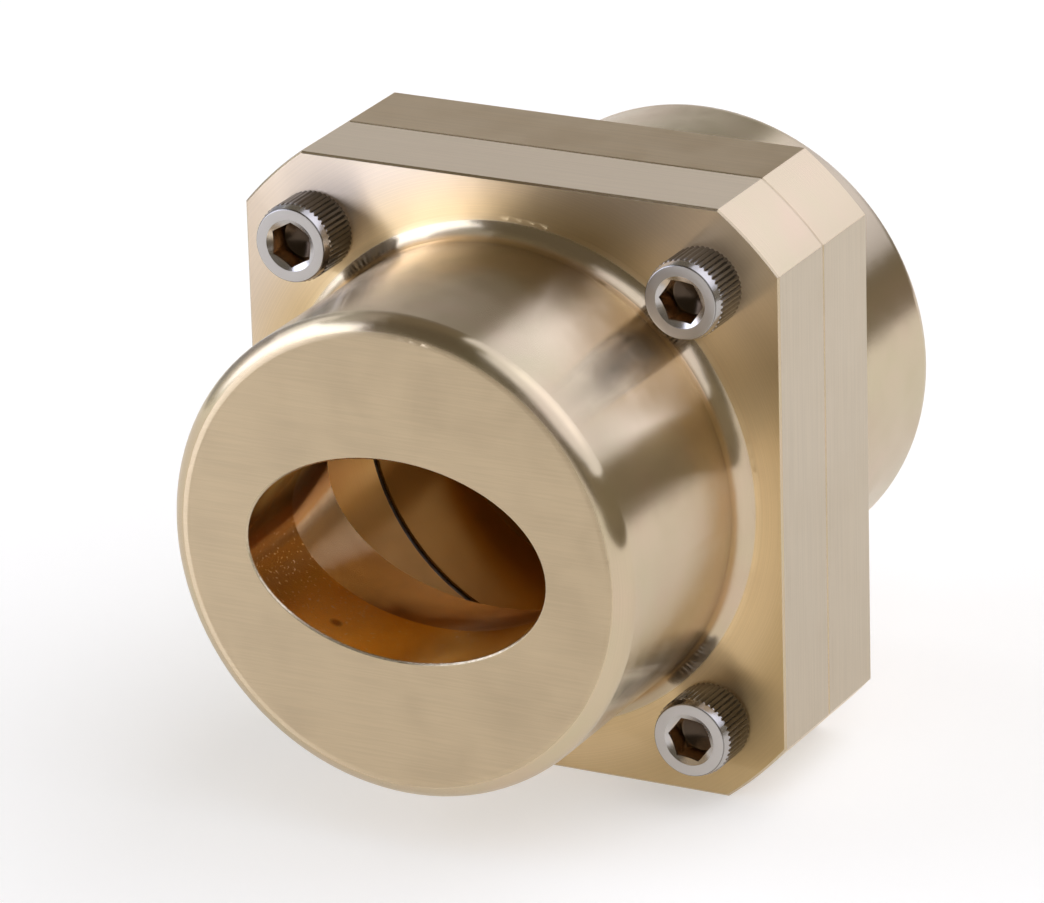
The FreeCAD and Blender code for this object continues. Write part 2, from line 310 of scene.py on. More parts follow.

# %% [markdown]
# The masks follow. Depth is the distance from the joint plane, so that one rule serves both halves,
# and radius is the distance from the axis. Meridian grows along the half's outline, whether that runs
# outwards or along the axis, which is what the turning marks need. Two patches of the front barrel
# near the flange carry a painted highlight, the rear barrel's upper right carries a painted shade, and
# they have masks of their own.

# %% Place and masks
class HalfPlace:
    def __init__(self, w):
        coordinates = w.node("ShaderNodeTexCoord")
        self.place = w.place_in_mm(coordinates)
        self.x, self.y, self.z = w.split(self.place)
        self.depth = w.maths("ABSOLUTE", self.y)
        self.radius = w.vector("LENGTH", w.combine(self.x, 0.0, self.z))
        self.meridian = w.maths("SUBTRACT", self.radius, self.depth)
        self.front_half = w.maths("LESS_THAN", self.y, 0.0)
        facing = w.split(coordinates.outputs["Normal"])
        self.side_on = w.fade(w.maths("ABSOLUTE", facing[1]), *SIDE_ON)
        self.facing_up = w.fade(facing[2], *FACING_UP)
        self.facing_down = w.fade_out(facing[2], *FACING_DOWN)
        self.mask_faces(w)
        self.mask_bores(w)
        self.mask_barrel(w)

    def mask_faces(self, w):
        self.end_face = w.both(self.side_on, w.fade(self.depth, *END_FACE_DEPTHS))
        on_flange = w.maths("COMPARE", self.depth, flange_face / MM, FLANGE_SLACK)
        self.flange_front = w.both(on_flange, self.side_on)
        self.near_barrel = w.both(w.fade_out(self.radius, *NEAR_BARREL_RADII), self.flange_front)
        wide = w.maths("COMPARE", w.maths("ABSOLUTE", self.x), half_width / MM, FLAT_SLACK)
        high = w.maths("COMPARE", w.maths("ABSOLUTE", self.z), half_height / MM, FLAT_SLACK)
        self.flats = w.maths("MAXIMUM", wide, high)
        self.level_front_flats = w.both(high, self.front_half)

    def mask_bores(self, w):
        within = w.fade_out(self.radius, *BORE_RADII)
        self.inside = w.both(within, w.opposite(self.end_face))
        self.chamber = w.both(w.fade_out(self.depth, *CHAMBER_DEPTHS), self.inside)
        self.flare = w.both(w.fade_out(self.depth, *FLARE_DEPTHS), self.inside)
        self.mouth_rim = w.both(w.fade(self.depth, *MOUTH_RIM_DEPTHS), self.inside)
        self.mouth_edge = w.both(self.mouth_rim, w.fade_out(self.z, *MOUTH_EDGE_HEIGHTS))

    def mask_barrel(self, w):
        on_barrel = w.maths("COMPARE", self.radius, BARREL, BARREL_SLACK)
        upper_right = w.fade(w.maths("MINIMUM", self.x, self.z), *UPPER_RIGHT_START)
        upper_right = w.both(upper_right, on_barrel)
        upper_left = w.both(
            w.fade(self.x, *UPPER_LEFT_START),
            w.fade_out(self.x, *UPPER_LEFT_END),
            w.fade(self.z, *UPPER_LEFT_HEIGHTS),
            on_barrel,
        )
        # Two patches of the front barrel near the flange get a painted highlight.
        towards_flange = w.fade_out(self.depth, *HIGHLIGHT_DEPTHS)
        self.painted_highlight = w.both(w.maths("ADD", upper_right, upper_left), towards_flange, self.front_half)
        # The rear barrel's upper right gets a painted shade.
        self.rear_barrel = w.both(upper_right, w.opposite(self.front_half))


mask_words = [word for word in vars(HalfPlace) if word.startswith("mask_")]
print("groups of masks:", ", ".join(word.removeprefix("mask_") for word in mask_words))

# %% [markdown]
# ## The tools' marks
#
# A lathe leaves fine rings, so on turned surfaces the light stretches straight across them, from the
# axis outwards or along it. The end face was rubbed sideways on abrasive paper, and the flats were
# milled along their length. The marks themselves are noise that is drawn out along the tool's path: a
# small number in the stretch below means long marks in that direction. Which way the light stretches is
# set by a tangent, which is worked out from the place. It crosses the marks, and only on the flats at
# the front half's top and bottom does it follow them, which gave the even sheen of the photograph.

# %% Grain and light stretch
RUBBED_STRETCH = (0.12, 0.0, 4.5)
MILLED_STRETCH = (0.06, 3.2, 0.06)
TURNED_LINES_PER_MM = 7.0
ALONG_X = (1.0, 0.0, 0.0, 1.0)
ALONG_Y = (0.0, 1.0, 0.0, 1.0)
ALONG_Z = (0.0, 0.0, 1.0, 1.0)


def grain_height(w, at):
    rubbed = w.noise(at.place, RUBBED_STRETCH)
    turned = w.lines(at.meridian, TURNED_LINES_PER_MM)
    milled = w.noise(at.place, MILLED_STRETCH)
    turned_or_milled = w.mix(at.flats, turned, milled)
    return w.mix(at.end_face, turned_or_milled, rubbed)


def light_stretch(w, at):
    outward_x = w.maths("DIVIDE", at.x, at.radius)
    outward_z = w.maths("DIVIDE", at.z, at.radius)
    inward_y = w.maths("MULTIPLY", w.maths("SIGN", at.y), -1.0)
    across_rings = w.combine(outward_x, inward_y, outward_z)
    milled = w.mix(at.level_front_flats, ALONG_Y, ALONG_X)
    turned_or_milled = w.mix(at.flats, across_rings, milled)
    return w.mix(at.end_face, turned_or_milled, ALONG_Z)


print("three sorts of tool marks: rubbed, turned and milled")

# %% [markdown]
# ## Brass outside
#
# Outside, the brass is pale, because its skin is slightly dulled and it stands in a white room. Faint
# pink and green clouds are the start of tarnish. Each machined surface has a shade of its own, matched
# to the photograph, and much of it is painted light: the flats are greyer, with a painted sheen on
# their tops that is strongest on the rear half, the flange's face carries a painted reflection that
# runs from golden at the lower right to pale at the upper left and is bright round the barrel, two
# patches of the front barrel near the flange carry a painted highlight, and the rear barrel's upper
# right a painted shade.

# %% Colours of the outside
BRASS_SKIN = rgb(0.585, 0.475, 0.325)
BRASS_PINK = rgb(0.61, 0.47, 0.335)
BRASS_GREEN = rgb(0.57, 0.48, 0.315)
BRASS_RUBBED = rgb(0.675, 0.53, 0.345)
# The tops of the flats carry a painted sheen, much lighter on the rear half than the sides.
BRASS_FRONT_TOP_SHEEN = rgb(0.63, 0.515, 0.375)
BRASS_REAR_TOP_SHEEN = rgb(0.78, 0.62, 0.43)
BRASS_SIDE_FLAT = rgb(0.60, 0.515, 0.40)
# A painted reflection on the flange's face, pale at the upper left and golden at the lower right.
BRASS_FACE_REFLECTION_PALE = rgb(0.86, 0.71, 0.55)
BRASS_FACE_REFLECTION_GOLDEN = rgb(0.58, 0.41, 0.20)
# A painted reflection of the barrel on the flange's face round it.
BRASS_BARREL_REFLECTION = rgb(0.88, 0.66, 0.37)
# A painted highlight on two patches of the front barrel near the flange.
BRASS_PAINTED_HIGHLIGHT = rgb(1.0, 0.83, 0.60)
# Painted shade on the rear barrel's upper right.
BRASS_SHADY = rgb(0.45, 0.37, 0.265)
CLOUD_STRETCH = (0.09, 0.09, 0.09)
CLOUD_DETAIL = 3.0
PINK_CLOUDS = (0.45, 0.75)
GREEN_CLOUDS = (0.25, 0.5)
GOLDEN_TO_PALE = (-30.0, 45.0)


def skin_colour(w, at):
    clouds = w.noise(at.place, CLOUD_STRETCH, CLOUD_DETAIL)
    colour = w.mix(w.fade(clouds, *PINK_CLOUDS), BRASS_SKIN, BRASS_PINK)
    return w.mix(w.fade_out(clouds, *GREEN_CLOUDS), colour, BRASS_GREEN)


def outside_colour(w, at):
    # Painted sheen on the tops of the flats, lighter on the rear half.
    top = w.mix(at.front_half, BRASS_REAR_TOP_SHEEN, BRASS_FRONT_TOP_SHEEN)
    flat = w.mix(at.facing_up, BRASS_SIDE_FLAT, top)
    # Painted reflection on the flange's face, from golden at the lower right to pale at the upper left.
    towards_upper_left = w.fade(w.maths("SUBTRACT", at.z, at.x), *GOLDEN_TO_PALE)
    faced = w.mix(towards_upper_left, BRASS_FACE_REFLECTION_GOLDEN, BRASS_FACE_REFLECTION_PALE)
    colour = w.mix(at.flats, skin_colour(w, at), flat)
    colour = w.mix(at.end_face, colour, BRASS_RUBBED)
    colour = w.mix(at.flange_front, colour, faced)
    # Painted reflection of the barrel on the flange's face round its root.
    colour = w.mix(at.near_barrel, colour, BRASS_BARREL_REFLECTION)
    # Painted highlight on the front barrel.
    colour = w.mix(at.painted_highlight, colour, BRASS_PAINTED_HIGHLIGHT)
    # Painted shade on the rear barrel's upper right.
    return w.mix(at.rear_barrel, colour, BRASS_SHADY)


print("clouds of tarnish about", round(1 / CLOUD_STRETCH[0]), "mm across")

# %% [markdown]
# ## Brass inside
#
# In the bores light bounces several times and takes up more of the metal's own colour each time, which
# turns it orange. The bores' shades are painted light and shade, matched to the photograph: the socket
# behind the mouth has painted golden light on its floor against walls in painted shade, with a little
# dust and one dark stain, the flare behind it has painted shade going from brown to pale, the round
# chamber at the joint is dull, with painted light at its sides and at the rear half's right, and the
# bores' ceilings carry painted orange light. Last come the rim, with burrs painted as bright highlights
# here and there along its lower edge, and faint streaks that follow the tools' marks everywhere.

# %% Colours of the bores and the rim
# The socket's walls are painted shade and its floor painted golden light.
BRASS_SOCKET_WALL_PAINTED_SHADE = rgb(0.43, 0.24, 0.065)
BRASS_SOCKET_FLOOR_PAINTED_LIGHT = rgb(1.0, 0.63, 0.15)
BRASS_DUST = rgb(1.0, 0.85, 0.62)
BRASS_STAIN = rgb(0.42, 0.22, 0.05)
# Painted light and shade across the flare: dark at the lower left, bright at the right, mid high up.
BRASS_FLARE = rgb(0.30, 0.165, 0.05)
BRASS_FLARE_RIGHT = rgb(1.0, 0.67, 0.33)
BRASS_FLARE_HIGH = rgb(0.60, 0.38, 0.19)
# Painted light and shade in the chamber: bright sides and rear right, dark low down and at the rear.
BRASS_CHAMBER_SIDE = rgb(1.0, 0.76, 0.40)
BRASS_CHAMBER_LOW = rgb(0.46, 0.27, 0.09)
BRASS_CHAMBER_REAR = rgb(0.40, 0.22, 0.06)
BRASS_CHAMBER_RIGHT = rgb(0.88, 0.42, 0.19)
# Painted orange light on the bores' surfaces that face down.
BRASS_ROOF_PAINTED_LIGHT = rgb(1.0, 0.62, 0.18)
# Burrs along the mouth's lower edge, painted bright as highlights.
BRASS_BURR_HIGHLIGHT = rgb(0.72, 0.62, 0.46)
SOCKET_LEFT_END = (-17.5, -12.5)
DUST_STRETCH = (2.6, 2.6, 2.6)
DUST_DETAIL = 1.0
DUST_SHARE = (0.655, 0.69)
STAIN_PLACE = (-9.7, -37.6, -10.2)
STAIN_REACH = (0.3, 1.0)
FLARE_ACROSS = (-15.0, 5.0)
FLARE_HEIGHTS = (-8.0, -3.0)
CHAMBER_ACROSS = (4.0, 18.0)
CHAMBER_HEIGHTS = (-15.0, -7.0)
NICK_STRETCH = (1.6, 0.0, 1.6)
NICK_DETAIL = 3.0
NICK_ROUGHNESS = 0.7
NICK_SHARE = (0.42, 0.6)
STREAK_HEIGHTS = (0.3, 0.7)
STREAK_SHADES = (0.94, 1.0)


def socket_colour(w, at):
    # Painted light on the socket's floor, painted shade on its walls and at its left end.
    colour = w.mix(at.facing_up, BRASS_SOCKET_WALL_PAINTED_SHADE, BRASS_SOCKET_FLOOR_PAINTED_LIGHT)
    colour = w.mix(w.fade_out(at.x, *SOCKET_LEFT_END), colour, BRASS_SOCKET_WALL_PAINTED_SHADE)
    dust = w.fade(w.noise(at.place, DUST_STRETCH, DUST_DETAIL), *DUST_SHARE)
    colour = w.mix(w.both(dust, at.facing_up), colour, BRASS_DUST)
    from_stain = w.vector("LENGTH", w.vector("SUBTRACT", at.place, STAIN_PLACE))
    return w.mix(w.fade_out(from_stain, *STAIN_REACH), colour, BRASS_STAIN)


def flare_colour(w, at):
    # Painted light and shade across the flare.
    low = w.mix(w.fade(at.x, *FLARE_ACROSS), BRASS_FLARE, BRASS_FLARE_RIGHT)
    return w.mix(w.fade(at.z, *FLARE_HEIGHTS), low, BRASS_FLARE_HIGH)


def chamber_colour(w, at):
    # Painted light and shade in the chamber, different on each half.
    front = w.mix(w.fade(at.z, *CHAMBER_HEIGHTS), BRASS_CHAMBER_LOW, BRASS_CHAMBER_SIDE)
    rear = w.mix(w.fade(at.x, *CHAMBER_ACROSS), BRASS_CHAMBER_REAR, BRASS_CHAMBER_RIGHT)
    return w.mix(at.front_half, rear, front)


def brass_colour(w, at):
    colour = w.mix(at.inside, outside_colour(w, at), socket_colour(w, at))
    colour = w.mix(at.flare, colour, flare_colour(w, at))
    colour = w.mix(at.chamber, colour, chamber_colour(w, at))
    # Painted orange light on the bores' surfaces that face down.
    colour = w.mix(w.both(at.inside, at.facing_down), colour, BRASS_ROOF_PAINTED_LIGHT)
    colour = w.mix(at.mouth_rim, colour, BRASS_SKIN)
    # Burrs here and there along the mouth's lower edge, painted bright as highlights.
    burr_highlights = w.fade(w.noise(at.place, NICK_STRETCH, NICK_DETAIL, NICK_ROUGHNESS), *NICK_SHARE)
    colour = w.mix(w.both(at.mouth_edge, burr_highlights), colour, BRASS_BURR_HIGHLIGHT)
    streaks = w.fade(grain_height(w, at), *STREAK_HEIGHTS, *STREAK_SHADES)
    return w.mix(1.0, colour, w.combine(streaks, streaks, streaks), "MULTIPLY")


print("stain on the socket's floor at", STAIN_PLACE, "mm")

# %% [markdown]
# ## Dress the halves
#
# Roughness differs from surface to surface, with a few smears from handling. All the surfaces share one
# metal shader. It stretches the light fully, its grain is a bump of a thousandth of a millimetre or so,
# because polished metal shows the slightest slope, and its bevel rounds every sharp edge just enough
# to catch a line of light, without any change to the mesh.

# %% Dress the halves in brass
ROUGH_TURNED = 0.20
ROUGH_FACE = 0.40
ROUGH_RUBBED = 0.31
ROUGH_MILLED = 0.31
ROUGH_BORE = 0.22
ROUGH_CHAMBER = 0.36
SMEAR_STRETCH = (0.16, 0.16, 0.16)
SMEAR_DETAIL = 4.0
SMEAR_ROUGHNESS = 0.6
SMEAR_SHARE = (0.35, 0.75)
SMEAR_CHANGE = (-0.02, 0.03)
GRAIN_DEPTH = 0.0015 * MM
EDGE_ROUND = 0.12 * MM
EDGE_SAMPLES = 4


def brass_roughness(w, at):
    turned = w.fade(at.flange_front, 0.0, 1.0, ROUGH_TURNED, ROUGH_FACE)
    rough = w.combine(turned, turned, turned)
    for mask, level in (
        (at.flats, ROUGH_MILLED),
        (at.end_face, ROUGH_RUBBED),
        (at.inside, ROUGH_BORE),
        (at.chamber, ROUGH_CHAMBER),
    ):
        rough = w.mix(mask, rough, grey(level))
    smears = w.noise(at.place, SMEAR_STRETCH, SMEAR_DETAIL, SMEAR_ROUGHNESS)
    return w.maths("ADD", rough, w.fade(smears, *SMEAR_SHARE, *SMEAR_CHANGE))


def make_brass():
    w = Wiring("turned_brass")
    at = HalfPlace(w)
    rounded = w.node("ShaderNodeBevel", samples=EDGE_SAMPLES)
    rounded.inputs["Radius"].default_value = EDGE_ROUND
    height = w.both(grain_height(w, at), w.opposite(at.inside))
    grain = w.bump(height, GRAIN_DEPTH, rounded.outputs["Normal"])
    shader = w.metal(brass_colour(w, at), brass_roughness(w, at), grain)
    shader.inputs["Anisotropic"].default_value = 1.0
    w.plug(light_stretch(w, at), shader.inputs["Tangent"])
    return w.material


brass = make_brass()
for name in ("front_half", "rear_half"):
    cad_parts[name].data.materials[0] = brass
print("brass dressed on both halves, nodes in its tree:", len(brass.node_tree.nodes))

# %% [markdown]
# ## Rubber ring
#
# Between the joint faces lies a flat rubber ring that keeps water out. Only its inner edge can be seen,
# deep in the mouth. Rubber is dark and matt, with a fine pebbled skin and a little dust.

# %% Dress the ring
RUBBER_CLEAN = rgb(0.035, 0.02, 0.012)
RUBBER_DUSTY = rgb(0.09, 0.05, 0.03)
RUBBER_STRETCH = (0.8, 0.8, 0.8)
RUBBER_DETAIL = 4.0
RUBBER_DUST_SHARE = (0.5, 0.8)
RUBBER_DULL_SHARE = (0.3, 0.7)
RUBBER_ROUGHNESS = (0.35, 0.6)
PEBBLE_STRETCH = (9, 9, 9)
PEBBLE_DEPTH = 0.02 * MM


def make_rubber():
    w = Wiring("seal_rubber_black")
    place = w.place_in_mm(w.node("ShaderNodeTexCoord"))
    shader = w.node("ShaderNodeBsdfPrincipled")
    dust = w.noise(place, RUBBER_STRETCH, RUBBER_DETAIL)
    colour = w.mix(w.fade(dust, *RUBBER_DUST_SHARE), RUBBER_CLEAN, RUBBER_DUSTY)
    w.plug(colour, shader.inputs["Base Color"])
    w.plug(w.fade(dust, *RUBBER_DULL_SHARE, *RUBBER_ROUGHNESS), shader.inputs["Roughness"])
    w.plug(w.bump(w.noise(place, PEBBLE_STRETCH), PEBBLE_DEPTH), shader.inputs["Normal"])
    w.plug(shader.outputs["BSDF"], w.output.inputs["Surface"])
    return w.material


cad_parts["seal_ring"].data.materials[0] = make_rubber()
print("ring dressed in black rubber")

# %% [markdown]
# ## Socket head cap screws
#
# A cap screw's head is turned, knurled round its side for the fingers and broached with a hexagon for
# the key. All of that is a lathe form whose radius changes a little from column to column, so the mesh
# is made of rows, from the bottom of the hexagon outwards, over the top, down the knurl and along the
# thread to the tip. There are six columns to each knurl flute, which also puts a column on every corner
# of the hexagon, and each row is a rule that gives a radius and a height for every column.

# %% Sizes of one screw, in millimetres
FLUTES = 46
COLUMNS_PER_FLUTE = 6
COLUMNS = FLUTES * COLUMNS_PER_FLUTE
HEAD_RADIUS = 4.725
TOP = HEAD_HEIGHT / MM
TOP_EDGE_ROUND = 0.2
TOP_EDGE_STEPS = 4
SHOULDER_INSET = 0.28
SHOULDER_HEIGHT = 1.1
KNURL_STEP = 0.08
KNURL_DEPTH = 0.22
SEAT_CHAMFER = 0.25
HEX_FLAT_RADIUS = 2.38
HEX_DEPTH = 3.2
COUNTERSINK_RADIUS = 3.1
CONE_SLOPE = math.tan(math.radians(30))
THREAD_RADIUS = 3.175
SEAT_GAP = 0.1


def column_angle(column):
    return 2 * math.pi * column / COLUMNS


def hex_radius(column):
    from_flat = column_angle(column) % (math.pi / 3) - math.pi / 6
    return HEX_FLAT_RADIUS / math.cos(from_flat)


def flute_depth(column):
    steps = column % COLUMNS_PER_FLUTE
    steps = min(steps, COLUMNS_PER_FLUTE - steps)
    arc = steps * 2 * math.pi * HEAD_RADIUS / COLUMNS
    return max(0.0, KNURL_DEPTH - arc)


print(f"{COLUMNS} columns, hexagon {2 * HEX_FLAT_RADIUS:.2f} mm across its flats")

# %% [markdown]
# The head's rows come first. The countersink is a cone, so it meets the hexagon higher at the corners
# than at the flats, which draws the scalloped line that every real socket has. In the same way the
# knurl's grooves run out into the smooth shoulder, and their ends draw small teeth round the head.

# %% Rows of the head
def countersink_row(column):
    radius = hex_radius(column)
    return radius, TOP - (COUNTERSINK_RADIUS - radius) * CONE_SLOPE


def round_row(radius, height):
    return lambda column: (radius, height)


def shoulder_rows():
    slope = math.atan2(SHOULDER_INSET - KNURL_STEP, SHOULDER_HEIGHT)
    centre_radius = HEAD_RADIUS - SHOULDER_INSET - TOP_EDGE_ROUND
    rows = []
    for step in range(TOP_EDGE_STEPS + 1):
        angle = step / TOP_EDGE_STEPS * (math.pi / 2 - slope)
        radius = centre_radius + TOP_EDGE_ROUND * math.sin(angle)
        height = TOP - TOP_EDGE_ROUND * (1 - math.cos(angle))
        rows.append(round_row(radius, height))
    return rows


def shoulder_end(column):
    height = TOP - SHOULDER_HEIGHT + flute_depth(column)
    share = (TOP - height) / SHOULDER_HEIGHT
    return HEAD_RADIUS - KNURL_STEP - (SHOULDER_INSET - KNURL_STEP) * (1 - share), height


def knurl_start(column):
    depth = flute_depth(column)
    return HEAD_RADIUS - depth, TOP - SHOULDER_HEIGHT - KNURL_STEP - depth


head_rows = [
    round_row(HEX_FLAT_RADIUS, TOP - HEX_DEPTH),
    lambda column: (hex_radius(column), TOP - HEX_DEPTH),
    countersink_row,
    round_row(COUNTERSINK_RADIUS, TOP),
    *shoulder_rows(),
    shoulder_end,
    knurl_start,
    lambda column: (HEAD_RADIUS - flute_depth(column), SEAT_CHAMFER),
    round_row(HEAD_RADIUS - SEAT_CHAMFER, 0.0),
    round_row(THREAD_RADIUS + SEAT_GAP, 0.0),
]
print("rows in the head:", len(head_rows))

# %% [markdown]
# The thread is a helix. Seen as rows and columns, that only means that the groove's place shifts down
# by one pitch in each turn. The groove starts a little under the head, and at the tip the chamfer cuts
# the last turns down to a cone, as it does on a real screw so that it finds its hole.

# %% Rows of the thread
THREAD_COLUMNS = FLUTES
THREAD_PITCH = 1.27
THREAD_DEPTH = 0.69
GROOVE_STEEPNESS = 1.35
CREST_SHARE = 0.15
PLAIN_LENGTH = 0.6
RUN_OUT = 1.2
TIP_CHAMFER = 0.8
ROWS_PER_PITCH = 8


def thread_radius(column, height):
    turn = (height / THREAD_PITCH - column / THREAD_COLUMNS) % 1.0
    groove = min(1.0, max(0.0, GROOVE_STEEPNESS * (1 - abs(2 * turn - 1)) - CREST_SHARE))
    under_head = min(1.0, max(0.0, (-height - PLAIN_LENGTH) / RUN_OUT))
    above_tip = height + THREAD_LENGTH / MM
    chamfer = THREAD_RADIUS - TIP_CHAMFER + above_tip
    return min(THREAD_RADIUS - THREAD_DEPTH * groove * under_head, chamfer)


thread_row_count = round(THREAD_LENGTH / MM / THREAD_PITCH * ROWS_PER_PITCH)
thread_heights = [-THREAD_LENGTH / MM * row / thread_row_count for row in range(thread_row_count + 1)]
print("rows in the thread:", len(thread_heights))

# %% [markdown]
# With the rules in place, the mesh is rings of vertices joined by faces. The socket's floor closes to
# the point that the drill left, and the head's last ring has six times as many vertices as the thread's
# first, so each face of that step has seven vertices outside and two inside.

# %% Build the screw mesh
SHARP_ANGLE = math.radians(28)


def ring(mesh, rule, columns):
    made = []
    for column in range(columns):
        radius, height = rule(column)
        angle = 2 * math.pi * column / columns
        place = Vector((radius * math.cos(angle), radius * math.sin(angle), height))
        made.append(mesh.verts.new(place * MM))
    return made


def skin(mesh, upper, lower):
    count = len(upper)
    for i in range(count):
        after = (i + 1) % count
        mesh.faces.new((upper[i], lower[i], lower[after], upper[after]))


def close(mesh, edge, height, reverse):
    middle = mesh.verts.new((0, 0, height * MM))
    count = len(edge)
    for i in range(count):
        corners = (middle, edge[i], edge[(i + 1) % count])
        mesh.faces.new(corners[::-1] if reverse else corners)


def finish_mesh(mesh, name):
    data = bpy.data.meshes.new(name)
    mesh.to_mesh(data)
    mesh.free()
    return data


def build_head(mesh):
    rings = [ring(mesh, rule, COLUMNS) for rule in head_rows]
    close(mesh, rings[0], TOP - HEX_DEPTH - HEX_FLAT_RADIUS * CONE_SLOPE, False)
    for inner, outer in zip(rings, rings[1:]):
        skin(mesh, inner, outer)
    return rings[-1]


def build_thread(mesh, seat):
    def thread_rule(height):
        return lambda column: (thread_radius(column, height), height)

    rings = [ring(mesh, thread_rule(height), THREAD_COLUMNS) for height in thread_heights]
    for i in range(THREAD_COLUMNS):
        after = (i + 1) % THREAD_COLUMNS
        step = [seat[(i * COLUMNS_PER_FLUTE + k) % COLUMNS] for k in range(COLUMNS_PER_FLUTE + 1)]
        mesh.faces.new((*reversed(step), rings[0][i], rings[0][after]))
    for upper, lower in zip(rings, rings[1:]):
        skin(mesh, upper, lower)
    close(mesh, rings[-1], -THREAD_LENGTH / MM, True)


def build_screw_mesh():
    mesh = bmesh.new()
    build_thread(mesh, build_head(mesh))
    bmesh.ops.recalc_face_normals(mesh, faces=mesh.faces)
    data = finish_mesh(mesh, "cap_screw")
    data.shade_smooth()
    data.set_sharp_from_angle(angle=SHARP_ANGLE)
    return data


screw_mesh = build_screw_mesh()
print("faces in one screw:", len(screw_mesh.polygons))

# %% [markdown]
# ## Steel
#
# The screws are plain stainless steel. The ring round the socket was faced on a lathe, so it is even
# and light. The shoulder is a little darker, and the knurl is darker grey, with painted shade in
# patches at the bottoms of its grooves and a thin line of painted shade just under the head's top edge.
# Light that reached the socket's walls came off the brass, so they are warm, and its floor is nearly
# black, painted shade deep in the socket. The masks read the height along the screw's own axis and the
# distance from it, so that they fit a screw however it is turned. Heights are measured from the
# underside of the head.

# %% Places on a screw
TOP_SLACK = 0.01
SOCKET_FLOOR = TOP - HEX_DEPTH
DRILL_POINT = SOCKET_FLOOR - 1.6
GROOVE_RADII = (HEAD_RADIUS - KNURL_DEPTH, HEAD_RADIUS - 0.04)
OUTSIDE_RADIUS = COUNTERSINK_RADIUS + 0.5
SOCKET_RADIUS = HEX_FLAT_RADIUS + 0.4
# Heights of the painted shade in the knurl's grooves.
GROOVE_SHADE_HEIGHTS = (TOP - 1.3, TOP - 1.1)
GROOVE_SHADE_LOWEST = 0.05
KNURL_HEIGHTS = (TOP - 1.25, TOP - 1.15)
WALL_HEIGHTS = (TOP - 0.8, TOP - 0.2)
FLOOR_HEIGHTS = (SOCKET_FLOOR - 0.1, SOCKET_FLOOR + 0.6)
# A thin line of painted shade just under the head's top edge.
EDGE_START = (TOP - 0.16, TOP - 0.1)
EDGE_END = (TOP - 0.03, TOP - 0.01)


class ScrewPlace:
    def __init__(self, w):
        self.place = w.place_in_mm(w.node("ShaderNodeTexCoord"))
        x, y, self.height = w.split(self.place)
        self.radius = w.vector("LENGTH", w.combine(x, y, 0.0))
        self.on_top = w.maths("COMPARE", self.height, TOP, TOP_SLACK)
        outside = w.maths("GREATER_THAN", self.radius, OUTSIDE_RADIUS)
        self.side = w.both(outside, w.opposite(self.on_top))
        self.knurled = w.both(outside, w.fade_out(self.height, *KNURL_HEIGHTS))
        # Painted shade at the bottoms of the knurl's grooves.
        self.groove_shade = w.both(
            w.fade_out(self.radius, *GROOVE_RADII),
            outside,
            w.fade_out(self.height, *GROOVE_SHADE_HEIGHTS),
            w.maths("GREATER_THAN", self.height, GROOVE_SHADE_LOWEST),
        )
        # A thin line of painted shade just under the head's top edge.
        self.top_edge_shade = w.both(
            outside,
            w.fade(self.height, *EDGE_START),
            w.fade_out(self.height, *EDGE_END),
        )
        in_socket = w.maths("LESS_THAN", self.radius, SOCKET_RADIUS)
        self.walls = w.both(in_socket, w.fade_out(self.height, *WALL_HEIGHTS))
        # The socket's floor, which gets painted shade.
        self.floor = w.both(
            w.fade_out(self.height, *FLOOR_HEIGHTS),
            w.maths("GREATER_THAN", self.height, DRILL_POINT),
            in_socket,
        )


print(f"socket's floor at {SOCKET_FLOOR:.2f} mm, top of the head at {TOP:.2f} mm")

# %% [markdown]
# The colours go on from the widest surface to the smallest, so that a later one covers an earlier one
# where both apply. The painted shade in the grooves is patchy, and so is the polish.

# %% Steel finish
STEEL = rgb(0.51, 0.48, 0.455)
STEEL_SHOULDER = rgb(0.42, 0.395, 0.375)
STEEL_KNURL = rgb(0.27, 0.26, 0.255)
# Painted shade for the grooves and for a line under the top edge.
STEEL_PAINTED_SHADE = rgb(0.19, 0.175, 0.155)
STEEL_SOCKET = rgb(0.80, 0.58, 0.34)
# Painted shade deep in the socket.
STEEL_SOCKET_FLOOR_SHADE = rgb(0.07, 0.05, 0.035)
PATCH_STRETCH = (0.5, 0.5, 0.5)
PATCH_DETAIL = 3.0
GROOVE_SHADE_PATCHES = (0.2, 0.6)
GROOVE_SHADE_STRENGTH = (0.7, 1.0)
EDGE_SHADE_SHARE = 0.8
ROUGH_STEEL = 0.20
ROUGH_STEEL_TOP = 0.34
POLISH_PATCHES = (0.3, 0.7)
POLISH_CHANGE = (-0.02, 0.05)
FACING_LINES_PER_MM = 7.0
FACING_DEPTH = 0.002 * MM


